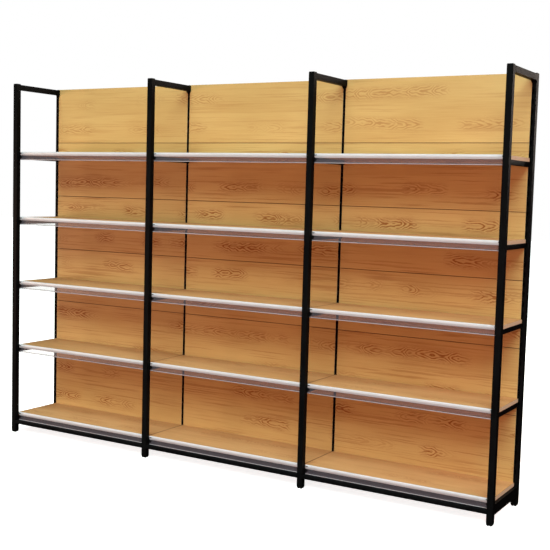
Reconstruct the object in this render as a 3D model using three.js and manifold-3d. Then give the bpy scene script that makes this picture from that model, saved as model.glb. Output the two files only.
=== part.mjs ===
// Gondola shelving unit: three wood-backed bays between four black steel side frames,
// with five shelf levels. Millimetres, +Z up. Origin: floor level, middle of the length and depth.
// +X runs along the unit, -Y is the shopper's side, +Y is the wall side.
import * as THREE from "three";
import { mergeVertices } from "three/addons/utils/BufferGeometryUtils.js";
import Module from "manifold-3d";

const wasm = await Module();
wasm.setup();

// ---- Driving dimensions -------------------------------------------------------------------

const BAYS = 3;
const BAY_PITCH = 1000; // side frame centre to side frame centre
const DEPTH = 400; // front face of the front posts to the rear face of the uprights
const HEIGHT = 2100; // floor to the top of the post caps
const TUBE = 30; // square tube of the posts and the top tube
const WALL = 1.5; // wall of the square tubes
const GAP = 0.3; // left between pieces that touch

const BASE_TOP = 118; // top of the side frames' base level, under the bottom board's own gap
const FIRST_SHELF_TOP = 536; // top of the lowest hooked shelf
const HOOKED_LEVELS = 4;
const SLOT_PITCH = 48.4;
const SLOTS_PER_STEP = 8; // slots between one hooked shelf and the next
const LIFT = 12; // how far a hooked shelf rises before its hooks meet the slot tops
const BOARD_THICK = 18; // shelf boards and back boards

const BACK_ROWS = 6;
const BACK_PITCH = 330; // height of one back board with its seam
const BACK_SKIRT = 30; // how far the lowest back boards reach down behind the bottom shelf boards
const BACK_BOTTOM = HEIGHT - BACK_ROWS * BACK_PITCH - BACK_SKIRT;
const SEAM = 0.8; // between one back board and the next
const TONGUE_HEIGHT = 6;

// ---- Dimensions that follow ---------------------------------------------------------------

const HALF_TUBE = TUBE / 2;
const BORE_HALF = HALF_TUBE - WALL;
const FRONT = -DEPTH / 2;
const REAR = DEPTH / 2;
const POST_REAR = FRONT + TUBE;
const UPRIGHT_DEPTH = 35;
const UPRIGHT_WALL = 2;
const UPRIGHT_FRONT = REAR - UPRIGHT_DEPTH; // also the front plane of the back boards
const RIDGE_HALF = 7; // half width of the strip that shows between two bays' back boards

const CAP_HEIGHT = 4;
const POST_TOP = HEIGHT - CAP_HEIGHT;
const FOOT_HEIGHT = 12;
const TOP_TUBE = [HEIGHT - 5 - TUBE, HEIGHT - 5]; // underside and top
const BASE_BOTTOM = 50; // underside of the side frames' base tubes
const BASE_TUBE = [BASE_BOTTOM, BASE_TOP - BOARD_THICK];
const BEAM = [54, 74]; // underside and top of the beam between two front posts

const BAR_OFFSET = 1; // from a side frame's middle plane to each shelf's end bar
const BAR_WIDTH = 12.5;
const BAR_HEIGHT = 25;
const END_GAP = 0.5; // between a shelf and the posts that it slides past
const HOOK_THICK = 3;
const HOOK_HEIGHT = 13.5;
const SLOT_HALF_WIDTH = 4.5;
const SLOT_HEIGHT = HOOK_HEIGHT + LIFT + 2 * GAP;
const SLOT_BELOW_TOP = 37.3; // slot's lower edge below the top of the shelf that hangs in it
const REAR_SLOTS = { below: 7, step: 1, count: 39 }; // below: how many under the first shelf's
const FRONT_SLOTS = { below: 2, step: 2, count: 16 }; // step: slot pitches from one to the next

const RAIL_RISE = 3; // how far the rail stands above the board behind it
const RAIL_HEIGHT = 50; // nose, ticket channel and lower lip
const RAIL_DEPTH = 12;
const NOSE_HEIGHT = 22;
const LIP_HEIGHT = 9;
const RAIL_FRONT = POST_REAR + END_GAP;
const BOARD_FRONT = RAIL_FRONT + RAIL_DEPTH + END_GAP;

const frameX = Array.from({ length: BAYS + 1 }, (_, i) => (i - BAYS / 2) * BAY_PITCH);
const hookedTops = Array.from(
  { length: HOOKED_LEVELS },
  (_, i) => FIRST_SHELF_TOP + i * SLOTS_PER_STEP * SLOT_PITCH,
);

// ---- Solids -------------------------------------------------------------------------------

// A three.js geometry as a solid that can be joined and cut.
function solid(geometry) {
  geometry.deleteAttribute("normal");
  geometry.deleteAttribute("uv");
  const merged = mergeVertices(geometry, 1e-4);
  const vertProperties = new Float32Array(merged.attributes.position.array);
  const triVerts = new Uint32Array(merged.index.array);
  return new wasm.Manifold(new wasm.Mesh({ numProp: 3, vertProperties, triVerts }));
}

// Each range is [low, high] or [high, low].
function box(...ranges) {
  const size = ranges.map(([a, b]) => Math.abs(b - a));
  const middle = ranges.map(([a, b]) => (a + b) / 2);
  return solid(new THREE.BoxGeometry(...size).translate(...middle));
}

function extrusion(outline, length) {
  const shape = new THREE.Shape(outline.map(([u, v]) => new THREE.Vector2(u, v)));
  return new THREE.ExtrudeGeometry(shape, { depth: length, bevelEnabled: false });
}

// An outline of [y, z] points, extruded along X.
function alongX(outline, [low, high]) {
  const prism = extrusion(outline, high - low);
  return solid(prism.rotateX(Math.PI / 2).rotateZ(Math.PI / 2).translate(low, 0, 0));
}

// An outline of [x, z] points, extruded along Y.
function alongY(outline, [low, high]) {
  const prism = extrusion(outline, high - low);
  return solid(prism.rotateX(Math.PI / 2).translate(0, high, 0));
}

// A square block on the point x, y that narrows or widens from its lower to its upper end.
function taper(x, y, [low, high], lowerHalf, upperHalf) {
  const corner = Math.SQRT2;
  const block = new THREE.CylinderGeometry(upperHalf * corner, lowerHalf * corner, high - low, 4);
  return solid(
    block.rotateY(Math.PI / 4).rotateX(Math.PI / 2).translate(x, y, (low + high) / 2),
  );
}

const around = (middle, half) => [middle - half, middle + half];
const joined = (pieces) => pieces.reduce((body, piece) => body.add(piece));
const cutFrom = (body, cuts) => cuts.reduce((rest, cut) => rest.subtract(cut), body);

// ---- Materials ----------------------------------------------------------------------------

const MATERIALS = {
  blackSteel: { color: 0x1a1b1c, roughness: 0.5, metalness: 0.3 },
  oak: { color: 0xd6ac6c, roughness: 0.55, metalness: 0 },
  blackPlastic: { color: 0x111111, roughness: 0.7, metalness: 0 },
  railPlastic: { color: 0xe4e2e0, roughness: 0.35, metalness: 0 },
};

const unit = new THREE.Group();

function addPart(name, body, material, position = [0, 0, 0], scale = [1, 1, 1]) {
  const mesh = body.getMesh();
  const geometry = new THREE.BufferGeometry();
  geometry.setAttribute("position", new THREE.BufferAttribute(mesh.vertProperties, 3));
  geometry.setIndex(new THREE.BufferAttribute(mesh.triVerts, 1));
  geometry.computeVertexNormals();
  const part = new THREE.Mesh(geometry, new THREE.MeshStandardMaterial(MATERIALS[material]));
  part.name = name;
  part.position.set(...position);
  part.scale.set(...scale);
  unit.add(part);
}

// ---- Side frame: front post, slotted upright, top tube and base tube, welded ----------------

function slots(yRange, { below, step, count }) {
  const lowest = FIRST_SHELF_TOP - SLOT_BELOW_TOP - below * SLOT_PITCH;
  return Array.from({ length: count }, (_, i) => {
    const z = lowest + i * step * SLOT_PITCH;
    return box(around(0, SLOT_HALF_WIDTH), yRange, [z, z + SLOT_HEIGHT]);
  });
}

// The sides that hold a bay's back boards are rebated: -1 is the left side, 1 the right side.
function sideFrame(rebatedSides) {
  const weld = 0.5; // how far each tube is let into the post that it is welded to
  const drainHalf = 5; // half the size of the holes that let the tubes drain when coated
  const full = around(0, HALF_TUBE);
  const bore = around(0, BORE_HALF);
  const tall = [FOOT_HEIGHT, POST_TOP];
  const span = [POST_REAR - weld, UPRIGHT_FRONT + weld];
  const gussetDrop = 14;
  const gussetThick = 4;
  const gusset = [
    [-RIDGE_HALF, TOP_TUBE[0] - gussetDrop],
    [RIDGE_HALF, TOP_TUBE[0] - gussetDrop],
    [HALF_TUBE, TOP_TUBE[0] + weld],
    [-HALF_TUBE, TOP_TUBE[0] + weld],
  ];
  const cap = (y) => taper(0, y, [POST_TOP - weld, HEIGHT], HALF_TUBE, BORE_HALF);
  const body = joined([
    box(full, [FRONT, POST_REAR], tall),
    box(full, [UPRIGHT_FRONT, REAR], tall),
    box(full, span, TOP_TUBE),
    box(full, span, BASE_TUBE),
    alongY(gusset, [UPRIGHT_FRONT - gussetThick, UPRIGHT_FRONT + weld]),
    cap(FRONT + HALF_TUBE),
    cap(REAR - HALF_TUBE),
  ]);

  const hollow = [FOOT_HEIGHT - 1, POST_TOP - CAP_HEIGHT];
  const webFront = UPRIGHT_FRONT + BOARD_THICK + GAP; // the back boards' rear faces meet this
  const ridgeBore = [-1, 1].map((side) =>
    rebatedSides.includes(side) ? side * (RIDGE_HALF - WALL) : side * BORE_HALF,
  );
  const cuts = [
    box(bore, [FRONT + WALL, POST_REAR - WALL], hollow),
    box(bore, [webFront + WALL, REAR - WALL], hollow),
    box(ridgeBore, [UPRIGHT_FRONT + UPRIGHT_WALL, webFront + 2 * WALL], hollow),
    box(bore, [UPRIGHT_FRONT + WALL, REAR - WALL], [FOOT_HEIGHT - 1, BASE_BOTTOM]),
    ...slots(around(UPRIGHT_FRONT, 2 * UPRIGHT_WALL), REAR_SLOTS),
    ...slots(around(POST_REAR, 2 * WALL), FRONT_SLOTS),
  ];
  for (const [low, high] of [TOP_TUBE, BASE_TUBE]) {
    const drainX = around(0, drainHalf);
    const drainZ = around((low + high) / 2, drainHalf);
    cuts.push(
      box(bore, [POST_REAR + WALL, UPRIGHT_FRONT - WALL], [low + WALL, high - WALL]),
      box(drainX, around(POST_REAR, 3 * WALL), drainZ),
      box(drainX, around(UPRIGHT_FRONT, 3 * WALL), drainZ),
    );
  }
  for (const side of rebatedSides) {
    const rebate = [side * RIDGE_HALF, side * (HALF_TUBE + 1)];
    cuts.push(box(rebate, [UPRIGHT_FRONT - 1e-3, webFront], [BACK_BOTTOM - GAP, HEIGHT + 1]));
  }
  return cutFrom(body, cuts);
}

frameX.forEach((x, i) => {
  const rebated = [-1, 1].filter((side) => frameX[i + side] !== undefined);
  addPart(`side_frame_${i + 1}`, sideFrame(rebated), "blackSteel", [x, 0, 0]);
});

// ---- Foot: push-in plug with two wear ribs, one under each post and upright ------------------

function foot() {
  const ribHeight = 3;
  const ribOffset = 7; // from the middle of the foot to the middle of each rib
  const ribHalf = 2.5;
  const rib = (side) => around(side * ribOffset, ribHalf);
  const sole = HALF_TUBE - 2;
  const spigotHalf = BORE_HALF - GAP;
  const spigotWall = 2.5;
  const spigot = around(0, spigotHalf);
  const core = around(0, spigotHalf - spigotWall);
  const spigotTop = FOOT_HEIGHT + 18;
  const body = joined([
    taper(0, 0, [ribHeight, FOOT_HEIGHT - GAP], sole, HALF_TUBE),
    box(spigot, spigot, [FOOT_HEIGHT - 1, spigotTop]),
    box(rib(-1), around(0, sole - 1), [0, ribHeight + 1]),
    box(rib(1), around(0, sole - 1), [0, ribHeight + 1]),
  ]);
  return cutFrom(body, [box(core, core, [FOOT_HEIGHT + 2, spigotTop + 1])]);
}

frameX.forEach((x, i) => {
  const rearPlace = [x, REAR - UPRIGHT_DEPTH / 2, 0];
  const rearScale = [1, UPRIGHT_DEPTH / TUBE, 1];
  addPart(`foot_front_${i + 1}`, foot(), "blackPlastic", [x, FRONT + HALF_TUBE, 0]);
  addPart(`foot_rear_${i + 1}`, foot(), "blackPlastic", rearPlace, rearScale);
});

// ---- Back board: tongued and grooved, with a small V at each seam ---------------------------

function backBoard(row, xRange) {
  const low = HEIGHT - (BACK_ROWS - row) * BACK_PITCH - (row > 0 ? 0 : BACK_SKIRT);
  const high = HEIGHT - (BACK_ROWS - 1 - row) * BACK_PITCH - SEAM;
  const front = UPRIGHT_FRONT;
  const back = UPRIGHT_FRONT + BOARD_THICK;
  const chamfer = 1.2;
  const third = BOARD_THICK / 3;
  const tongue = [front + third, back - third];
  const plank = alongX(
    [
      [back, low],
      [back, high],
      [front + chamfer, high],
      [front, high - chamfer],
      [front, low + chamfer],
      [front + chamfer, low],
    ],
    xRange,
  );
  const top = row < BACK_ROWS - 1 ? [box(xRange, tongue, [high - 1, high + TONGUE_HEIGHT])] : [];
  const groove = box(
    [xRange[0] - 1, xRange[1] + 1],
    [tongue[0] - GAP, tongue[1] + GAP],
    [low - 1, low + TONGUE_HEIGHT],
  );
  return cutFrom(joined([plank, ...top]), row > 0 ? [groove] : []);
}

// ---- Front rail: rounded nose, ticket channel and lower lip ---------------------------------

// boardTop is the top of the board behind it.
function frontRail(boardTop, xRange) {
  const front = RAIL_FRONT;
  const rear = front + RAIL_DEPTH;
  const channel = [front + 4, front + 6]; // front and rear of the channel's wall
  const top = boardTop + RAIL_RISE;
  const noseLow = top - NOSE_HEIGHT;
  const bottom = top - RAIL_HEIGHT;
  const lipTop = bottom + LIP_HEIGHT;
  const brow = 4; // size of the nose's rounded upper edge, drawn as two chamfers
  const middleBrow = brow * (1 - Math.SQRT1_2);
  return alongX(
    [
      [rear, noseLow],
      [rear, top],
      [front + brow, top],
      [front + middleBrow, top - middleBrow],
      [front, top - brow],
      [front, noseLow],
      [channel[0], noseLow],
      [channel[0], lipTop],
      [front, lipTop - 1],
      [front, bottom],
      [channel[1], bottom],
      [channel[1], noseLow],
    ],
    xRange,
  );
}

// ---- Shelf carrier: front rail between two end bars that hook into the side frames ----------

// side is 1 for the bar just right of its side frame's middle plane, -1 for just left of it.
function endBar(frame, side, top) {
  const across = (near, far) => [frame + side * near, frame + side * far];
  const front = POST_REAR + END_GAP;
  const rear = UPRIGHT_FRONT - END_GAP;
  const high = top - BOARD_THICK - GAP;
  const low = top - BOARD_THICK - BAR_HEIGHT;
  const farSide = BAR_OFFSET + BAR_WIDTH;
  const tube = cutFrom(box(across(BAR_OFFSET, farSide), [front, rear], [low, high]), [
    box(
      across(BAR_OFFSET + WALL, farSide - WALL),
      [front - 1, rear + 1],
      [low + WALL, high - WALL],
    ),
  ]);
  const plate = across(BAR_OFFSET, BAR_OFFSET + HOOK_THICK);
  const welded = 18; // length of each hook plate inside the bar
  const lipDrop = 6;
  const lipThick = 3.5;
  const hookLow = top - SLOT_BELOW_TOP + GAP;
  const hookHigh = hookLow + HOOK_HEIGHT;
  const lipFront = UPRIGHT_FRONT + UPRIGHT_WALL + END_GAP; // the lip hangs behind the slot's edge
  const hookRear = lipFront + lipThick;
  const tongueFront = POST_REAR - 2 * WALL;
  return joined([
    tube,
    box(plate, [rear - welded, hookRear], [hookLow, hookHigh]),
    box(plate, [lipFront, hookRear], [hookLow - lipDrop, hookHigh]),
    box(plate, [tongueFront, front + welded], [hookLow, hookHigh]),
  ]);
}

function shelfCarrier(left, right, top) {
  const barInner = BAR_OFFSET + BAR_WIDTH - 0.5; // the rail is let this far into each bar's side
  return joined([
    frontRail(top, [left + barInner, right - barInner]),
    endBar(left, 1, top),
    endBar(right, -1, top),
  ]);
}

// ---- Base front rail: the same rail behind a beam between two front posts --------------------

function baseFrontRail(left, right) {
  const clear = HALF_TUBE + GAP;
  const xRange = [left + clear, right - clear];
  const bore = box(
    [xRange[0] - 1, xRange[1] + 1],
    [FRONT + WALL, POST_REAR - WALL],
    [BEAM[0] + WALL, BEAM[1] - WALL],
  );
  const railFoot = BASE_TOP + RAIL_RISE - RAIL_HEIGHT;
  return joined([
    frontRail(BASE_TOP, xRange),
    box(xRange, [FRONT, POST_REAR], BEAM).subtract(bore),
    box(xRange, [POST_REAR - 1, RAIL_FRONT + 1], [railFoot, BEAM[1]]), // where the rail is fixed
  ]);
}

// ---- Bays ---------------------------------------------------------------------------------

function shelfBoard(left, right, top) {
  const seam = 1.25; // to the middle of the joint between two bays' boards
  return box(
    [left + seam, right - seam],
    [BOARD_FRONT, UPRIGHT_FRONT - 1.5],
    [top - BOARD_THICK, top],
  );
}

for (let bay = 1; bay <= BAYS; bay++) {
  const [left, right] = [frameX[bay - 1], frameX[bay]];
  const backRange = [left + RIDGE_HALF + END_GAP, right - RIDGE_HALF - END_GAP];
  for (let row = 0; row < BACK_ROWS; row++)
    addPart(`back_board_${bay}_${row + 1}`, backBoard(row, backRange), "oak");
  addPart(`base_front_rail_${bay}`, baseFrontRail(left, right), "railPlastic");
  addPart(`shelf_board_${bay}_1`, shelfBoard(left, right, BASE_TOP + GAP), "oak");
  hookedTops.forEach((top, i) => {
    addPart(`shelf_carrier_${bay}_${i + 2}`, shelfCarrier(left, right, top), "blackSteel");
    addPart(`shelf_board_${bay}_${i + 2}`, shelfBoard(left, right, top), "oak");
  });
}

export default unit;
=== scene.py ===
import math

import bmesh
import bpy
from mathutils import Matrix, Vector


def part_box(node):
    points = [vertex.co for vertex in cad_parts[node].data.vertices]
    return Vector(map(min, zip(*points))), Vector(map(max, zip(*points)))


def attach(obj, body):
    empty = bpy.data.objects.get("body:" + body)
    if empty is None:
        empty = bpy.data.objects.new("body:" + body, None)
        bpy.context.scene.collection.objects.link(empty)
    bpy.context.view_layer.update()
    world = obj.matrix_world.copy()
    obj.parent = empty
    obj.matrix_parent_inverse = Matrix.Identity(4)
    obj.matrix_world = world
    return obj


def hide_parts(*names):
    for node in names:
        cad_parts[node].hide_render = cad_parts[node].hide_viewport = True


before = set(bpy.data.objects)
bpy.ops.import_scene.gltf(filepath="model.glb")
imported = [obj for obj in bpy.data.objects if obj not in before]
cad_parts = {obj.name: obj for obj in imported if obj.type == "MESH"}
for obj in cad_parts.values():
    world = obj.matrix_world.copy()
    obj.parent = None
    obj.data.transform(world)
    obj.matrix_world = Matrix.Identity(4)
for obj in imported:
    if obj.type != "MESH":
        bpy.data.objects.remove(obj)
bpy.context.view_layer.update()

# Shapes are in millimetres, and are turned into metres as meshes are made. Materials, the floor
# and the lamps are in metres.
MM = 0.001
BAYS = 3
LEVELS = 5
BACK_ROWS = 6
TUBE = 30.0

# ---- Camera: the first thing made, to the unit's front right and a little above its middle -----

# The place is in metres, the angles in degrees, and the lens and sensor in millimetres.
CAMERA_AT = Vector((2.9239, -4.6026, 1.5107))
CAMERA_YAW = 30.573
CAMERA_PITCH = -4.792
CAMERA_ROLL = 1.576
CAMERA_LENS = 65.91
CAMERA_SENSOR = 36


def make_camera():
    yaw, pitch, roll = (math.radians(a) for a in (CAMERA_YAW, CAMERA_PITCH, CAMERA_ROLL))
    level = math.cos(pitch)
    forward = Vector((-math.sin(yaw) * level, math.cos(yaw) * level, math.sin(pitch)))
    right = Vector((math.cos(yaw), math.sin(yaw), 0))
    up = right.cross(forward)
    right_rolled = right * math.cos(roll) + up * math.sin(roll)
    up_rolled = up * math.cos(roll) - right * math.sin(roll)
    data = bpy.data.cameras.new("camera")
    data.lens = CAMERA_LENS
    data.sensor_width = CAMERA_SENSOR
    data.clip_start = 0.05
    data.clip_end = 200
    camera = bpy.data.objects.new("camera", data)
    rows = Matrix((right_rolled, up_rolled, -forward)).transposed()
    camera.matrix_world = Matrix.Translation(CAMERA_AT) @ rows.to_4x4()
    bpy.context.scene.collection.objects.link(camera)
    bpy.context.scene.camera = camera


make_camera()

# ---- Material graphs ------------------------------------------------------------------------


class Graph:
    """A material's node tree, with short calls for the nodes used here."""

    def __init__(self, name):
        self.material = bpy.data.materials.new(name)
        self.material.use_nodes = True
        self.tree = self.material.node_tree
        self.tree.nodes.clear()
        self.shader = self.tree.nodes.new("ShaderNodeBsdfPrincipled")
        output = self.tree.nodes.new("ShaderNodeOutputMaterial")
        self.tree.links.new(self.shader.outputs["BSDF"], output.inputs["Surface"])

    def put(self, socket, value):
        if isinstance(value, bpy.types.NodeSocket):
            self.tree.links.new(value, socket)
        elif value is not None:
            socket.default_value = value

    def node(self, kind, inputs=(), **settings):
        made = self.tree.nodes.new(kind)
        for key, value in settings.items():
            setattr(made, key, value)
        for key, value in dict(inputs).items():
            self.put(made.inputs[key], value)
        return made

    def math(self, operation, a, b=None):
        made = self.node("ShaderNodeMath", operation=operation)
        for socket, value in zip(made.inputs, (a, b)):
            self.put(socket, value)
        return made.outputs[0]

    def place(self):
        return self.node("ShaderNodeTexCoord").outputs["Object"]

    def facing(self):
        return self.node("ShaderNodeTexCoord").outputs["Normal"]

    def split(self, vector):
        return self.node("ShaderNodeSeparateXYZ", {0: vector}).outputs

    def join(self, x, y, z):
        return self.node("ShaderNodeCombineXYZ", {0: x, 1: y, 2: z}).outputs[0]

    def stretch(self, vector, scale):
        inputs = {0: vector, 1: scale}
        return self.node("ShaderNodeVectorMath", inputs, operation="MULTIPLY").outputs[0]

    def noise(self, vector, scale, detail, rough):
        inputs = {"Vector": vector, "Scale": scale, "Detail": detail, "Roughness": rough}
        return self.node("ShaderNodeTexNoise", inputs).outputs["Fac"]

    def ramp(self, value, stops):
        made = self.node("ShaderNodeValToRGB", {"Fac": value})
        band = made.color_ramp
        band.interpolation = "EASE"
        while len(band.elements) < len(stops):
            band.elements.new(0.5)
        for element, (at, colour) in zip(band.elements, stops):
            element.position = at
            element.color = (*colour, 1)
        return made.outputs["Color"]

    def blend(self, a, b, share):
        """share of a and the rest of b."""
        of_a = self.math("MULTIPLY", a, share)
        return self.math("ADD", of_a, self.math("MULTIPLY", b, 1 - share))

    def level(self, value, from_low, from_high, to_low, to_high):
        inputs = {1: from_low, 2: from_high, 3: to_low, 4: to_high, 0: value}
        return self.node("ShaderNodeMapRange", inputs).outputs[0]

    def mix(self, share, a, b, blend="MIX"):
        made = self.node("ShaderNodeMix", data_type="RGBA", blend_type=blend)
        for index, value in ((0, share), (6, a), (7, b)):
            self.put(made.inputs[index], value)
        return made.outputs[2]

    def bump(self, height, strength, distance):
        inputs = {"Height": height, "Strength": strength, "Distance": distance}
        return self.node("ShaderNodeBump", inputs).outputs[0]

    def finish(self, **sockets):
        for name, value in sockets.items():
            self.put(self.shader.inputs[name.replace("_", " ")], value)
        return self.material


def powder_coat(name, light, dark, roughness, sheen=0.026):
    """Black powder coat: a fine orange-peel skin with faint rubbed marks along the long way."""
    g = Graph(name)
    place = g.place()
    patch = g.noise(place, 9.0, 4.0, 0.6)
    rubbed = g.noise(g.stretch(place, (60.0, 60.0, 4.0)), 3.0, 4.0, 0.65)
    peel = g.noise(place, 900.0, 2.0, 0.5)
    tone = g.blend(patch, rubbed, 0.6)
    colour = g.ramp(tone, [(0.3, dark), (0.72, light)])
    uneven = g.math("ADD", tone, g.math("MULTIPLY", peel, 0.25))
    rough = g.level(uneven, 0.3, 1.0, *roughness)
    skin = g.bump(peel, 0.25, 0.0002)
    return g.finish(Base_Color=colour, Roughness=rough, Normal=skin, Specular_IOR_Level=sheen)


def moulded(name, light, dark, roughness, sheen=0.5):
    """Moulded or extruded plastic: faint flow streaks along X and a fine spark-eroded skin."""
    g = Graph(name)
    place = g.place()
    flow = g.noise(g.stretch(place, (2.0, 80.0, 80.0)), 2.0, 3.0, 0.5)
    skin = g.noise(place, 700.0, 2.0, 0.6)
    dust = g.noise(place, 14.0, 5.0, 0.7)
    tone = g.blend(flow, dust, 0.55)
    colour = g.ramp(tone, [(0.32, dark), (0.68, light)])
    rough = g.level(tone, 0.3, 0.7, *roughness)
    relief = g.bump(skin, 0.12, 0.0001)
    return g.finish(Base_Color=colour, Roughness=rough, Normal=relief, Specular_IOR_Level=sheen)


def clear_strip(name):
    """Clear ticket strip: a greyish tint with faint draw lines along its length."""
    g = Graph(name)
    place = g.place()
    draw = g.noise(g.stretch(place, (0.8, 120.0, 120.0)), 2.0, 2.0, 0.5)
    haze = g.noise(place, 22.0, 4.0, 0.6)
    tone = g.blend(draw, haze, 0.5)
    colour = g.ramp(tone, [(0.3, (0.128, 0.114, 0.136)), (0.7, (0.160, 0.146, 0.172))])
    rough = g.level(tone, 0.3, 0.7, 0.22, 0.36)
    relief = g.bump(draw, 0.05, 0.0001)
    return g.finish(Base_Color=colour, Roughness=rough, Alpha=0.25, Normal=relief)


# The wood between its lines, from pale to darker, and the lines
OAK_LIGHT = (0.577, 0.396, 0.147)
OAK_MID = (0.490, 0.309, 0.103)
OAK_DARK = (0.285, 0.105, 0.020)
# The dark line where two boards meet, a banded end, and an end that shows its core
OAK_EDGE = (0.110, 0.050, 0.018)
OAK_BAND = (0.74, 0.68, 0.50)
OAK_CORE = (0.16, 0.08, 0.03)
NO_TINT = (1.0, 1.0, 1.0)

LANES = 2
# The first figure depth is painted shade: a darker figure for the back boards below the top row,
# which lie in the shelves' shade. The second is for the top row and the shelves.
SHADE_FIGURE_DEPTH, TOP_FIGURE_DEPTH = 0.92, 0.46
STRAIGHT_DEPTH, PORE_DEPTH = 0.52, 0.10
# Metres: how far a lane's heart wanders, how far its lines ripple, and how round an arch's tip is
HEART_WANDER = 0.10
RIPPLE = 0.020
TIP_ROUND = 0.0035
# Metres: the step from line to line, where an arch's legs spread, and how far its pace varies
LINE_PITCH = 0.0135
LEGS_FROM = 0.026
PACE_VARIES = 0.110
STREAKS_PER_METRE = 112.0
# Metres from the middle of a line between boards: where it is full, and where it has ended
SEAM = (0.0012, 0.0022)
BAY_SEAM = (0.0022, 0.0034)


def oak(name, across, board_pitch, board_start, layer_pitch,
        rows=0, ends_look=OAK_BAND, tint=NO_TINT):
    """Plain-sawn oak laminate with its grain along X. across is the axis index over the board's
    width. Each board has LANES lanes of nested arches, and straight grain between them. Boards
    board_pitch apart, layers layer_pitch apart and bays a metre apart each get their own figure.
    A dark line shows where two bays' boards meet, and with rows, at the lower edge of that many
    rows of boards. All but the top row of those have a stronger, darker figure, which is painted
    shade for the boards under the shelves. tint multiplies the wood's colours."""
    g = Graph(name)
    axes = g.split(g.place())
    along, wide, other = axes[0], axes[across], axes[3 - across]
    lane_pitch = board_pitch / LANES
    bay = g.math("FLOOR", g.math("ADD", along, 1.5))
    lane = g.math("FLOOR", g.math("DIVIDE", g.math("SUBTRACT", wide, board_start), lane_pitch))
    layer = g.math("FLOOR", g.math("DIVIDE", other, layer_pitch))
    seed = g.math("ADD", g.math("MULTIPLY", bay, 7.31), g.math("MULTIPLY", lane, 3.77))
    seed = g.math("ADD", seed, g.math("MULTIPLY", layer, 5.13))
    middle = g.math("ADD", g.math("MULTIPLY", g.math("ADD", lane, 0.5), lane_pitch), board_start)
    over = g.math("SUBTRACT", wide, middle)

    def field(x_rate, across_rate, detail=2.0, rough=0.5, shift=0.0):
        x = g.math("MULTIPLY", along, x_rate)
        y = g.math("MULTIPLY", wide, across_rate)
        return g.noise(g.join(x, y, g.math("ADD", seed, shift)), 1.0, detail, rough)

    # a lane's heart wanders, and its arches all point one way along the board
    slow = g.noise(g.join(g.math("MULTIPLY", along, 1.1), seed, 0.0), 1.0, 1.0, 0.4)
    heart = g.math("MULTIPLY", g.math("SUBTRACT", slow, 0.5), HEART_WANDER)
    ripple = g.math("MULTIPLY", g.math("SUBTRACT", field(16.0, 40.0, 3.0, 0.62), 0.5), RIPPLE)
    off = g.math("SUBTRACT", g.math("ADD", over, ripple), heart)
    reach = g.math("SQRT", g.math("ADD", g.math("MULTIPLY", off, off), TIP_ROUND ** 2))
    beyond = g.math("MAXIMUM", g.math("SUBTRACT", reach, LEGS_FROM), 0.0)
    spread = g.math("ADD", reach, g.math("MULTIPLY", beyond, 1.6))
    way = g.math("SIGN", g.math("SINE", g.math("MULTIPLY", seed, 2.7)))
    pace = g.math("SUBTRACT", field(7.0, 0.0, 2.0, 0.6, 60.0), 0.5)
    pace = g.math("MULTIPLY", pace, PACE_VARIES)
    run = g.math("ADD", g.math("MULTIPLY", g.math("MULTIPLY", along, way), 0.24), pace)
    line = g.math("FRACT", g.math("DIVIDE", g.math("ADD", spread, run), LINE_PITCH))
    full, none = (1.0,) * 3, (0.0,) * 3
    late = g.ramp(line, [(0.0, none), (0.36, none), (0.64, full), (0.84, full), (1.0, none)])

    # groups of arches come and go, and straight lines fade in and out between them
    inside = g.level(reach, 0.016, 0.048, 1.0, 0.0)
    group = g.level(field(3.4, 0.0, 1.0, 0.4, 20.0), 0.46, 0.58, 0.0, 1.0)
    broken = g.level(field(22.0, 60.0, 1.0, 0.5, 44.0), 0.30, 0.52, 0.35, 1.0)
    arches = g.math("MULTIPLY", g.math("MULTIPLY", g.math("MULTIPLY", late, inside), group), broken)
    bent = g.math("ADD", wide, g.math("MULTIPLY", ripple, 0.45))
    bent = g.math("MULTIPLY", bent, STREAKS_PER_METRE)
    streak_at = g.join(g.math("MULTIPLY", along, 2.0), bent, g.math("ADD", seed, 90.0))
    streak = g.level(g.noise(streak_at, 1.0, 2.0, 0.5), 0.52, 0.61, 0.0, 1.0)
    fade = g.level(field(3.0, 14.0, 1.0, 0.5, 33.0), 0.38, 0.62, 0.15, 1.0)
    straight = g.math("MULTIPLY", streak, fade)
    fibre = field(6.0, 420.0, 3.0, 0.6, 7.0)
    pore = g.level(field(70.0, 1500.0, 1.0, 0.5, 3.0), 0.62, 0.72, 0.0, 1.0)
    cloud = field(1.6, 6.0, 2.0, 0.5, 11.0)

    arches = g.math("MULTIPLY", arches, 1.15)
    figure = g.math("MAXIMUM", arches, g.math("MULTIPLY", straight, STRAIGHT_DEPTH))
    figure = g.math("ADD", figure, g.math("MULTIPLY", pore, PORE_DEPTH))
    shade = g.level(g.math("ADD", cloud, g.math("MULTIPLY", fibre, 0.6)), 0.55, 1.05, 0.0, 1.0)
    looks = (OAK_LIGHT, OAK_MID, OAK_DARK)
    pale, mid, deep = ([a * b for a, b in zip(look, tint)] + [1] for look in looks)
    body = g.mix(shade, pale, mid)
    depth = TOP_FIGURE_DEPTH
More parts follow.
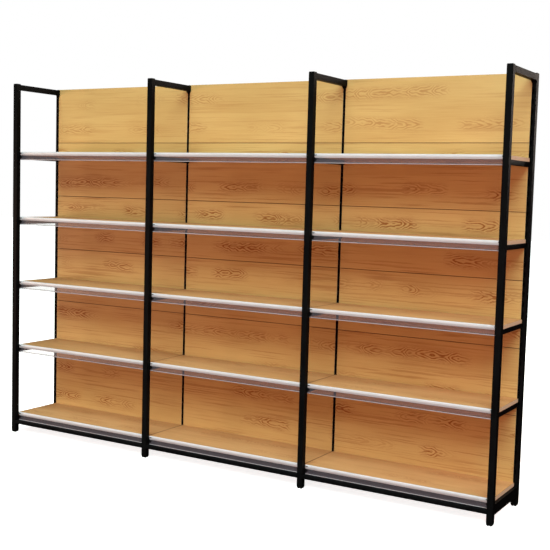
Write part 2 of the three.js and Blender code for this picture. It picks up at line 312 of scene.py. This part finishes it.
    # painted shade: the back boards below the top row get the darker figure, for the shade under
    # the shelves
    if rows:
        top_row = board_start + (rows - 1) * board_pitch
        depth = g.level(wide, top_row, top_row + 0.001, SHADE_FIGURE_DEPTH, TOP_FIGURE_DEPTH)
    colour = g.mix(g.math("MULTIPLY", figure, depth), body, deep)
    bays = g.math("ADD", along, 0.5)
    joint = g.math("ABSOLUTE", g.math("SUBTRACT", bays, g.math("ROUND", bays)))
    colour = g.mix(g.level(joint, *BAY_SEAM, 1.0, 0.0), colour, (*OAK_EDGE, 1))
    if rows:
        share = g.math("DIVIDE", g.math("SUBTRACT", wide, board_start), board_pitch)
        row = g.math("MINIMUM", g.math("MAXIMUM", g.math("ROUND", share), 0.0), rows - 1.0)
        gap = g.math("ABSOLUTE", g.math("SUBTRACT", share, row))
        gap = g.math("MULTIPLY", gap, board_pitch)
        colour = g.mix(g.level(gap, *SEAM, 1.0, 0.0), colour, (*OAK_EDGE, 1))

    # the boards' ends: OAK_BAND at the two ends of the unit, and ends_look where bays meet
    ends = g.math("GREATER_THAN", g.math("ABSOLUTE", g.split(g.facing())[0]), 0.7)
    outermost = g.math("GREATER_THAN", g.math("ABSOLUTE", along), BAYS / 2 - 0.1)
    edge_band = g.mix(outermost, (*ends_look, 1), (*OAK_BAND, 1))
    edge_band = g.mix(g.math("MULTIPLY", fibre, 0.4), edge_band, (*OAK_LIGHT, 1))
    colour = g.mix(ends, colour, edge_band)
    rough = g.level(g.math("ADD", fibre, g.math("MULTIPLY", figure, 0.3)), 0.3, 1.0, 0.46, 0.66)
    relief = g.math("SUBTRACT", g.math("MULTIPLY", fibre, 0.4), g.math("MULTIPLY", figure, 0.6))
    relief = g.bump(relief, 0.3, 0.0003)
    return g.finish(Base_Color=colour, Roughness=rough, Normal=relief, Specular_IOR_Level=0.35)


BLACK_STEEL = powder_coat(
    "black_steel_look", (0.0042, 0.0050, 0.0054), (0.0018, 0.0021, 0.0024), (0.34, 0.56))
BLACK_PLASTIC = moulded(
    "black_plastic_look", (0.0060, 0.0066, 0.0070), (0.0026, 0.0029, 0.0032), (0.5, 0.72), 0.08)
RAIL_PLASTIC = moulded("rail_plastic_look", (0.63, 0.64, 0.67), (0.57, 0.58, 0.61), (0.30, 0.44))
BEAD_PLASTIC = moulded("bead_plastic_look", (0.43, 0.40, 0.43), (0.34, 0.32, 0.34), (0.30, 0.44))
CLEAR_STRIP = clear_strip("clear_strip_look")
BARE_STEEL = powder_coat("zinc_look", (0.42, 0.42, 0.40), (0.22, 0.22, 0.21), (0.3, 0.5), sheen=0.7)

back_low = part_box("back_board_1_2")[0]
back_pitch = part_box("back_board_1_3")[0].z - back_low.z
shelf_low, shelf_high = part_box("shelf_board_1_1")
OAK_BACK = oak("oak_back_look", 2, back_pitch, back_low.z, 10.0, rows=BACK_ROWS - 1)
shelf_pitch = shelf_high.y - shelf_low.y + 0.002
# painted light: the shelves' oak is tinted pinker than the back boards', to offset the cool key
# lamp on the shelf tops
OAK_SHELF = oak(
    "oak_shelf_look", 1, shelf_pitch, shelf_low.y - 0.001, 0.06,
    ends_look=OAK_CORE, tint=(1.12, 0.91, 1.06))

# ---- Mesh helpers ---------------------------------------------------------------------------


def rounded(outline, radii, steps=4):
    """The outline with each corner turned into an arc of its radius."""
    points = []
    count = len(outline)
    for i, (corner, radius) in enumerate(zip(outline, radii)):
        here = Vector(corner)
        before = Vector(outline[i - 1]) - here
        after = Vector(outline[(i + 1) % count]) - here
        if radius <= 0:
            points.append(tuple(here))
            continue
        angle = before.angle(after)
        back = radius / math.tan(angle / 2)
        start = here + before.normalized() * back
        end = here + after.normalized() * back
        inward = (before.normalized() + after.normalized()).normalized()
        centre = here + inward * (radius / math.sin(angle / 2))
        a, b = start - centre, end - centre
        turn = a.angle_signed(b)
        for k in range(steps + 1):
            part_turn = -turn * k / steps
            spun = Vector((
                a.x * math.cos(part_turn) - a.y * math.sin(part_turn),
                a.x * math.sin(part_turn) + a.y * math.cos(part_turn),
            ))
            points.append(tuple(centre + spun))
    return points


def rectangle(u, v, radius):
    corners = [(u[0], v[0]), (u[1], v[0]), (u[1], v[1]), (u[0], v[1])]
    return rounded(corners, [radius] * 4)


def span(edge, side, near, far):
    """The range between near and far from an edge. side is 1 towards +X and -1 towards -X."""
    return sorted((edge + side * near, edge + side * far))


PLACES = {
    "x": lambda at, u, v: (at, u, v),
    "y": lambda at, u, v: (u, at, v),
    "z": lambda at, u, v: (u, v, at),
}


class Body:
    """Gathers closed shells in millimetres and becomes one object."""

    def __init__(self):
        self.bm = bmesh.new()

    def ring(self, axis, at, outline):
        return [self.bm.verts.new([c * MM for c in PLACES[axis](at, u, v)]) for u, v in outline]

    def sleeve(self, first, second):
        count = len(first)
        for i in range(count):
            j = (i + 1) % count
            self.bm.faces.new((first[i], first[j], second[j], second[i]))

    def prism(self, axis, outline, low, high, chamfer=0.0):
        """A closed extrusion of the outline. chamfer draws both end faces in a little."""
        sections = [(low, 0.0), (high, 0.0)]
        if chamfer:
            sections = [
                (low, chamfer),
                (low + chamfer, 0.0),
                (high - chamfer, 0.0),
                (high, chamfer),
            ]
        rings = [self.ring(axis, at, shrunk(outline, inset)) for at, inset in sections]
        for first, second in zip(rings, rings[1:]):
            self.sleeve(first, second)
        self.bm.faces.new(rings[0][::-1])
        self.bm.faces.new(rings[-1])

    def tube(self, axis, outer, inner, low, high):
        """A hollow section, open at both ends. outer and inner have as many points each."""
        a = self.ring(axis, low, outer)
        b = self.ring(axis, high, outer)
        c = self.ring(axis, low, inner)
        d = self.ring(axis, high, inner)
        self.sleeve(a, b)
        self.sleeve(d, c)
        self.sleeve(b, d)
        self.sleeve(c, a)

    def lathe(self, axis, centre, profile, segments):
        """A solid of revolution. profile is [(radius, at)] from one end of the axis on."""
        u, v = centre
        turn = [2 * math.pi * k / segments for k in range(segments)]
        rings = []
        for radius, at in profile:
            outline = [(u + radius * math.cos(t), v + radius * math.sin(t)) for t in turn]
            rings.append(self.ring(axis, at, outline))
        for first, second in zip(rings, rings[1:]):
            self.sleeve(first, second)
        self.bm.faces.new(rings[0][::-1])
        self.bm.faces.new(rings[-1])

    def paint(self, index):
        """Gives the material of that index to every face made so far that still has the first."""
        for face in self.bm.faces:
            if face.material_index == 0:
                face.material_index = index

    def become(self, name, material, body, stands_for=(), smooth=0.6):
        """Makes the object, on its body and in its slot. Edges sharper than smooth, in radians,
        stay sharp. stands_for names the CAD nodes that it replaces."""
        bmesh.ops.recalc_face_normals(self.bm, faces=self.bm.faces)
        mesh = bpy.data.meshes.new(name)
        self.bm.to_mesh(mesh)
        self.bm.free()
        for look in material if isinstance(material, tuple) else (material,):
            mesh.materials.append(look)
        made = bpy.data.objects.new(name, mesh)
        bpy.context.scene.collection.objects.link(made)
        mesh.shade_smooth()
        mesh.set_sharp_from_angle(angle=smooth)
        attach(made, body)
        if stands_for:
            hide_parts(*stands_for)
        return made


def shrunk(outline, inset):
    """The outline drawn towards its inside by about inset."""
    if not inset:
        return outline
    us = [u for u, _ in outline]
    vs = [v for _, v in outline]
    mid_u, mid_v = (min(us) + max(us)) / 2, (min(vs) + max(vs)) / 2
    half_u, half_v = (max(us) - min(us)) / 2, (max(vs) - min(vs)) / 2
    scale_u, scale_v = 1 - inset / half_u, 1 - inset / half_v
    return [(mid_u + (u - mid_u) * scale_u, mid_v + (v - mid_v) * scale_v) for u, v in outline]


def in_mm(node):
    low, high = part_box(node)
    return low / MM, high / MM


# ---- CAD pieces that stay: softened edges and finished materials ------------------------------


WELD_WITHIN = 0.00001
BEVEL_FROM = math.radians(35)


def soften(node, material, width, segments=2):
    """Gives a CAD piece its material, and edges rounded by width millimetres."""
    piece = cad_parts[node]
    for slot in piece.material_slots:
        slot.material = material
    weld = piece.modifiers.new("weld", "WELD")
    weld.merge_threshold = WELD_WITHIN
    bevel = piece.modifiers.new("edges", "BEVEL")
    bevel.width = width * MM
    bevel.segments = segments
    bevel.limit_method = "ANGLE"
    bevel.angle_limit = BEVEL_FROM
    bevel.use_clamp_overlap = True
    normals = piece.modifiers.new("normals", "WEIGHTED_NORMAL")
    normals.keep_sharp = False
    normals.weight = 100
    return piece


for i in range(1, BAYS + 2):
    soften(f"side_frame_{i}", BLACK_STEEL, 1.0)
    soften(f"foot_front_{i}", BLACK_PLASTIC, 0.6)
    soften(f"foot_rear_{i}", BLACK_PLASTIC, 0.6)
for bay in range(1, BAYS + 1):
    for row in range(1, BACK_ROWS + 1):
        soften(f"back_board_{bay}_{row}", OAK_BACK, 0.4, 1)
    for level in range(1, LEVELS + 1):
        soften(f"shelf_board_{bay}_{level}", OAK_SHELF, 0.5)

# ---- Front rails: white nose, clear ticket channel, black end clips ----------------------------

# Heights above and below the rail's top, and its depth from front to rear
RAIL_RISE = 3.0
NOSE_DROP = 22.0
RAIL_DROP = 49.0
LIP_HEIGHT = 9.0
BEAD_HEIGHT = 3.6
RAIL_DEPTH = 12.0
# How far a rail starts in from its carrier's front and ends, and a channel from its rail's ends
RAIL_BACK = 3.5
RAIL_INSET = 12.0
CHANNEL_INSET = 1.8


def nose(name, body, x, front, top, stands_for):
    """White extruded bullnose with a lug that grips the clear channel, and the frosted bead that
    edges the channel's lower lip."""
    rear = front + RAIL_DEPTH
    low = top - NOSE_DROP
    corners = [
        (rear, low),
        (rear, top - RAIL_RISE),
        (rear - 2.0, top - RAIL_RISE + 0.4),
        (front + 6.5, top),
        (front, top - 1.0),
        (front, low + 10.5),
        (front + 2.8, low + 1.0),
        (front + 3.4, low),
        (front + 4.2, low),
        (front + 4.2, low + 2.5),
        (front + 6.0, low + 2.5),
        (front + 6.0, low),
    ]
    radii = [0.6, 0.2, 0.4, 3.0, 5.0, 9.0, 0, 0.5, 0.3, 0.3, 0.3, 0.4]
    part = Body()
    bead_z = (top - RAIL_DROP, top - RAIL_DROP + BEAD_HEIGHT)
    bead = rectangle((front, front + 3.0), bead_z, 1.2)
    part.prism("x", bead, x[0] + CHANNEL_INSET, x[1] - CHANNEL_INSET, 0.2)
    part.paint(1)
    part.prism("x", rounded(corners, radii, 6), x[0], x[1], 0.25)
    return part.become(name, (RAIL_PLASTIC, BEAD_PLASTIC), body, stands_for)


def channel(name, body, x, front, top):
    """Clear ticket channel: a thin wall with a lip standing in front of its lower edge."""
    high = top - NOSE_DROP + 2.2
    low = top - RAIL_DROP
    corners = [
        (front + 3.6, high),
        (front + 5.0, high),
        (front + 5.0, low + 0.4),
        (front + 3.2, low + 0.4),
        (front + 3.2, low + BEAD_HEIGHT + 0.2),
        (front + 0.3, low + BEAD_HEIGHT + 0.2),
        (front + 0.3, low + LIP_HEIGHT),
        (front + 1.3, low + LIP_HEIGHT),
        (front + 1.6, low + BEAD_HEIGHT + 1.4),
        (front + 3.6, low + BEAD_HEIGHT + 1.4),
    ]
    radii = [0.4, 0.4, 0.8, 0.2, 0.2, 0.4, 0.4, 0.4, 0.5, 0.5]
    part = Body()
    part.prism("x", rounded(corners, radii), x[0], x[1])
    return part.become(name, CLEAR_STRIP, body)


def end_clips(name, body, x, front, top):
    """Black clips that close both ends of a rail: an end plate, a wedge over the channel's end
    and a locking tongue that lies along the nose."""
    part = Body()
    plate_y = (front + 0.3, front + RAIL_DEPTH - 0.3)
    plate_z = (top - RAIL_DROP + 0.4, top - NOSE_DROP - 0.2)
    for side, edge in ((1, x[0]), (-1, x[1])):
        plate = rectangle(plate_y, plate_z, 0.8)
        part.prism("x", plate, *span(edge, side, 0.1, 1.7), 0.3)
        wedge = [
            (edge + side * 0.2, top - NOSE_DROP - 20.0),
            (edge + side * 0.2, top - NOSE_DROP + 2.0),
            (edge + side * 3.0, top - NOSE_DROP + 2.0),
            (edge + side * 14.0, top - NOSE_DROP - 5.0),
            (edge + side * 12.0, top - NOSE_DROP - 9.0),
        ]
        part.prism("y", rounded(wedge, [0.6, 0.6, 0.8, 1.0, 1.4]), front + 0.1, front + 3.2, 0.2)
        tongue = [
            (edge + side * 1.0, top - 11.6),
            (edge + side * 1.0, top - 6.6),
            (edge + side * 15.0, top - 5.4),
            (edge + side * 15.0, top - 9.4),
        ]
        part.prism("y", rounded(tongue, [0.6, 0.6, 1.4, 1.4]), front - 0.3, front + 1.2, 0.2)
    return part.become(name, BLACK_PLASTIC, body)


# ---- Shelf frames: two hollow end bars with hooks ----------------------------------------------

HOOK_THICK = 3.0
HOOK_HEIGHT = 13.5
HOOK_BELOW_TOP = 37.0
HOOK_LIP = 6.0
HOOK_ROOT = 18.0
STEEL_WALL = 1.5
DIMPLE_FROM_END = 30.0
# (radius, rise) of a spot weld's dimple
DIMPLE = [(3.2, 0.0), (3.0, 0.25), (2.2, 0.55), (0.9, 0.7)]


def hollow(part, axis, u, v, low, high):
    """A rolled rectangular tube of STEEL_WALL."""
    inner_u = (u[0] + STEEL_WALL, u[1] - STEEL_WALL)
    inner_v = (v[0] + STEEL_WALL, v[1] - STEEL_WALL)
    part.tube(axis, rectangle(u, v, 2.4), rectangle(inner_u, inner_v, 0.9), low, high)


def shelf_frame(name, body, low, high):
    """The two end bars of a hooked shelf, with a tongue in front and a hook behind on each."""
    part = Body()
    top = high.z - RAIL_RISE
    front, rear = low.y + RAIL_BACK, high.y - 6.5
    hook_low = top - HOOK_BELOW_TOP
    hook_high = hook_low + HOOK_HEIGHT
    bar_z = (top - 43.0, top - 18.3)
    for side, edge in ((1, low.x), (-1, high.x)):
        hollow(part, "y", span(edge, side, 0.4, 12.5), bar_z, front + 6.4, rear)
        hook = [
            (rear - HOOK_ROOT, hook_low),
            (rear - HOOK_ROOT, hook_high),
            (high.y, hook_high),
            (high.y, hook_low - HOOK_LIP),
            (high.y - 3.5, hook_low - HOOK_LIP),
            (high.y - 3.5, hook_low),
        ]
        thick = span(edge, side, 0.0, HOOK_THICK)
        part.prism("x", rounded(hook, [1, 1, 3, 1.6, 0.8, 0.8]), *thick, 0.3)
        tongue = rectangle((low.y, front + HOOK_ROOT), (hook_low, hook_high), 1.5)
        part.prism("x", tongue, *thick, 0.3)
        # two spot-weld dimples' raised backs on the inner face of each bar
        for y in (front + DIMPLE_FROM_END, rear - DIMPLE_FROM_END):
            profile = [(radius, edge + side * (12.4 + rise)) for radius, rise in DIMPLE]
            part.lathe("x", (y, (bar_z[0] + bar_z[1]) / 2), profile, 16)
    return part.become(name, BLACK_STEEL, body)


for bay in range(1, BAYS + 1):
    for level in range(2, LEVELS + 1):
        key = f"{bay}_{level}"
        low, high = in_mm(f"shelf_carrier_{key}")
        front = low.y + RAIL_BACK
        x = (low.x + RAIL_INSET, high.x - RAIL_INSET)
        channel_x = (x[0] + CHANNEL_INSET, x[1] - CHANNEL_INSET)
        body = f"shelf_{key}"
        nose(f"rail_nose_{key}", body, x, front, high.z, [f"shelf_carrier_{key}"])
        channel(f"ticket_channel_{key}", body, channel_x, front, high.z)
        end_clips(f"rail_clips_{key}", body, x, front, high.z)
        shelf_frame(f"shelf_frame_{key}", body, low, high)

# ---- Base front rail: the same rail on a hollow black beam --------------------------------------


def base_beam(name, body, low, high):
    """Hollow beam between two front posts, with an upstand behind the clear channel."""
    part = Body()
    beam_y = (low.y, low.y + TUBE)
    hollow(part, "x", beam_y, (low.z, low.z + 20.0), low.x, high.x)
    front = high.y - RAIL_DEPTH
    top = high.z - NOSE_DROP - 0.3
    upstand = [
        (beam_y[1] - 0.6, low.z + 2.0),
        (beam_y[1] - 0.6, low.z + 6.0),
        (front + 5.4, low.z + 6.0),
        (front + 5.4, top),
        (front + 7.0, top),
        (front + 7.0, low.z + 2.0),
    ]
    part.prism("x", rounded(upstand, [0.5, 0.5, 0.8, 0.4, 0.4, 2.0]), low.x, high.x)
    return part.become(name, BLACK_STEEL, body)


for bay in range(1, BAYS + 1):
    node = f"base_front_rail_{bay}"
    low, high = in_mm(node)
    front = high.y - RAIL_DEPTH
    nose(f"base_nose_{bay}", "unit", (low.x, high.x), front, high.z, [node])
    channel_x = (low.x + CHANNEL_INSET, high.x - CHANNEL_INSET)
    channel(f"base_channel_{bay}", "unit", channel_x, front, high.z)
    end_clips(f"base_clips_{bay}", "unit", (low.x, high.x), front, high.z)
    base_beam(f"base_beam_{bay}", "unit", low, high)

# ---- Weld beads on the side frames, and clips that hold the back boards --------------------------

TOP_TUBE_LOW = 2065.0
BASE_TUBE_LOW = 50.0
UPRIGHT_DEPTH = 35.0
BEAD_HALF = 13.0
BEAD_SIZE = 3.2
RIPPLES = 14
# How far a bead goes into the two faces it joins
BEAD_SUNK = 0.3


def weld_bead(part, x_range, corner, lean, size):
    """A rippled fillet along X in the corner of two faces. lean is the way it faces in Y and Z."""
    rings = []
    for k in range(RIPPLES + 1):
        x = x_range[0] + (x_range[1] - x_range[0]) * k / RIPPLES
        at_end = k in (0, RIPPLES)
        swell = size * (0.45 if at_end else 0.82 + 0.18 * (k % 2))
        outline = []
        for step in range(5):
            angle = math.pi / 2 * step / 4
            sag = 1 - 0.22 * math.sin(2 * angle)
            outline.append((
                corner[0] + lean[0] * (swell * math.cos(angle) * sag - BEAD_SUNK),
                corner[1] + lean[1] * (swell * math.sin(angle) * sag - BEAD_SUNK),
            ))
        outline.append((corner[0] - lean[0] * BEAD_SUNK, corner[1] - lean[1] * BEAD_SUNK))
        rings.append(part.ring("x", x, outline))
    for first, second in zip(rings, rings[1:]):
        part.sleeve(first, second)
    part.bm.faces.new(rings[0][::-1])
    part.bm.faces.new(rings[-1])


for i in range(1, BAYS + 2):
    low, high = in_mm(f"side_frame_{i}")
    middle = (low.x + high.x) / 2
    post_rear, upright_front = low.y + TUBE, high.y - UPRIGHT_DEPTH
    part = Body()
    beads = (middle - BEAD_HALF, middle + BEAD_HALF)
    weld_bead(part, beads, (post_rear, TOP_TUBE_LOW), (1, -1), BEAD_SIZE)
    weld_bead(part, beads, (post_rear, BASE_TUBE_LOW), (1, -1), BEAD_SIZE)
    weld_bead(part, beads, (upright_front, BASE_TUBE_LOW), (-1, -1), BEAD_SIZE)
    part.become(f"weld_beads_{i}", BLACK_STEEL, "unit", smooth=0.9)


# How far an upright reaches over a back board's edge, and where a clip's screw is from there
UPRIGHT_LAP = 7.8
SCREW_OUT = 13.0
CLIP_PLATE = 1.9
CLIP_HALF = 12.0
CLIPPED_ROWS = (1, 3, 5, BACK_ROWS)
# The top row's clips are this far above the middle of their board.
TOP_CLIP_RISE = 60


def back_clip(part, edge, side, y, z):
    """An angle clip screwed to a back board's rear, with its leg against the upright."""
    angle = [
        (edge + side * 0.3, y + 0.2),
        (edge + side * 22.0, y + 0.2),
        (edge + side * 22.0, y + CLIP_PLATE),
        (edge + side * 2.0, y + CLIP_PLATE),
        (edge + side * 2.0, y + 14.0),
        (edge + side * 0.3, y + 14.0),
    ]
    radii = [0.9, 0.5, 0.5, 0.6, 0.6, 0.5]
    part.prism("z", rounded(angle, radii), z - CLIP_HALF, z + CLIP_HALF, 0.3)


def screw(part, x, y, z):
    """The pan head of a screw, standing on a face at y."""
    head = [(3.9, y), (3.9, y + 0.9), (3.3, y + 1.9), (2.1, y + 2.5), (0.7, y + 2.7)]
    part.lathe("y", (x, z), head, 20)


screws = Body()
clips = Body()
for bay in range(1, BAYS + 1):
    for row in CLIPPED_ROWS:
        low, high = in_mm(f"back_board_{bay}_{row}")
        height = (low.z + high.z) / 2 + (0 if row < BACK_ROWS else TOP_CLIP_RISE)
        for side, edge in ((1, low.x), (-1, high.x)):
            inner = edge + side * UPRIGHT_LAP
            back_clip(clips, inner, side, high.y, height)
            screw(screws, inner + side * SCREW_OUT, high.y + CLIP_PLATE, height)
clips.become("back_clips", BLACK_STEEL, "unit")
screws.become("back_screws", BARE_STEEL, "unit")

# ---- Floor and light --------------------------------------------------------------------------


FLOOR_HALF = 30.0


def floor_material():
    """A pale studio floor that glows a little, so that it stays near white."""
    g = Graph("floor_look")
    cloud = g.noise(g.place(), 0.8, 3.0, 0.5)
    colour = g.ramp(cloud, [(0.3, (0.91, 0.91, 0.91)), (0.7, (0.94, 0.94, 0.94))])
    white = (1.0, 1.0, 1.0, 1.0)
    return g.finish(Base_Color=colour, Roughness=0.85, Emission_Color=white, Emission_Strength=0.82)


def make_floor():
    """The floor. It lights nothing and isn't mirrored in the unit."""
    mesh = bpy.data.meshes.new("floor")
    half = FLOOR_HALF
    corners = [(-half, -half, 0), (half, -half, 0), (half, half, 0), (-half, half, 0)]
    mesh.from_pydata(corners, [], [(0, 1, 2, 3)])
    mesh.materials.append(floor_material())
    made = bpy.data.objects.new("floor", mesh)
    bpy.context.scene.collection.objects.link(made)
    made.visible_diffuse = False
    made.visible_glossy = False


def area_light(name, at, aim, size, power, colour):
    """A soft box at a place, aimed at another, of a width and height in metres."""
    data = bpy.data.lights.new(name, "AREA")
    data.shape = "RECTANGLE"
    data.size, data.size_y = size
    data.energy = power
    data.color = colour
    made = bpy.data.objects.new(name, data)
    made.location = at
    made.rotation_mode = "QUATERNION"
    made.rotation_quaternion = (Vector(aim) - Vector(at)).to_track_quat("-Z", "Y")
    bpy.context.scene.collection.objects.link(made)


def sun(name, azimuth, elevation, spread, strength, colour):
    """A soft sun. azimuth is from the shopper's side towards +X, and both angles are in degrees."""
    data = bpy.data.lights.new(name, "SUN")
    data.energy = strength
    data.angle = math.radians(spread)
    data.color = colour
    made = bpy.data.objects.new(name, data)
    a, e = math.radians(azimuth), math.radians(elevation)
    towards = Vector((math.sin(a) * math.cos(e), -math.cos(a) * math.cos(e), math.sin(e)))
    made.rotation_mode = "QUATERNION"
    made.rotation_quaternion = (-towards).to_track_quat("-Z", "Y")
    bpy.context.scene.collection.objects.link(made)


def make_world():
    """A plain white surround behind the unit. The lamps give all of its light."""
    world = bpy.data.worlds.new("studio")
    bpy.context.scene.world = world
    world.use_nodes = True
    world.node_tree.nodes["Background"].inputs["Color"].default_value = (1, 1, 1, 1)
    world.cycles_visibility.diffuse = False
    world.cycles_visibility.glossy = False


make_floor()
make_world()
# The shade under the shelves is warm, and the light on what faces up or forward a little cool.
WARM = (0.94, 0.375, 0.30)
WARM_LEFT = (0.94, 0.59, 0.42)
WARM_REAR = (1.0, 0.86, 0.76)
KEY = (0.89, 1.10, 1.06)
sun("sky", 18, 49, 50, 3.0, KEY)
area_light("key", (0.9, -2.9, 3.5), (0, 0, 0.9), (4.6, 1.6), 52, KEY)
area_light("front_fill", (1.9, -6.0, 0.9), (0, 0, 0.6), (5.0, 1.5), 138, WARM)
area_light("left_fill", (-5.0, -3.2, 0.9), (-1.0, 0, 0.5), (3.0, 1.5), 124, WARM_LEFT)
area_light("right_fill", (6.0, -1.0, 2.6), (0, 0, 1.0), (3.0, 3.0), 128, WARM)
area_light("back_fill", (0.5, 6.0, 3.5), (0, 0, 1.0), (5.0, 3.5), 360, WARM_REAR)
bpy.context.scene.view_settings.view_transform = "Standard"
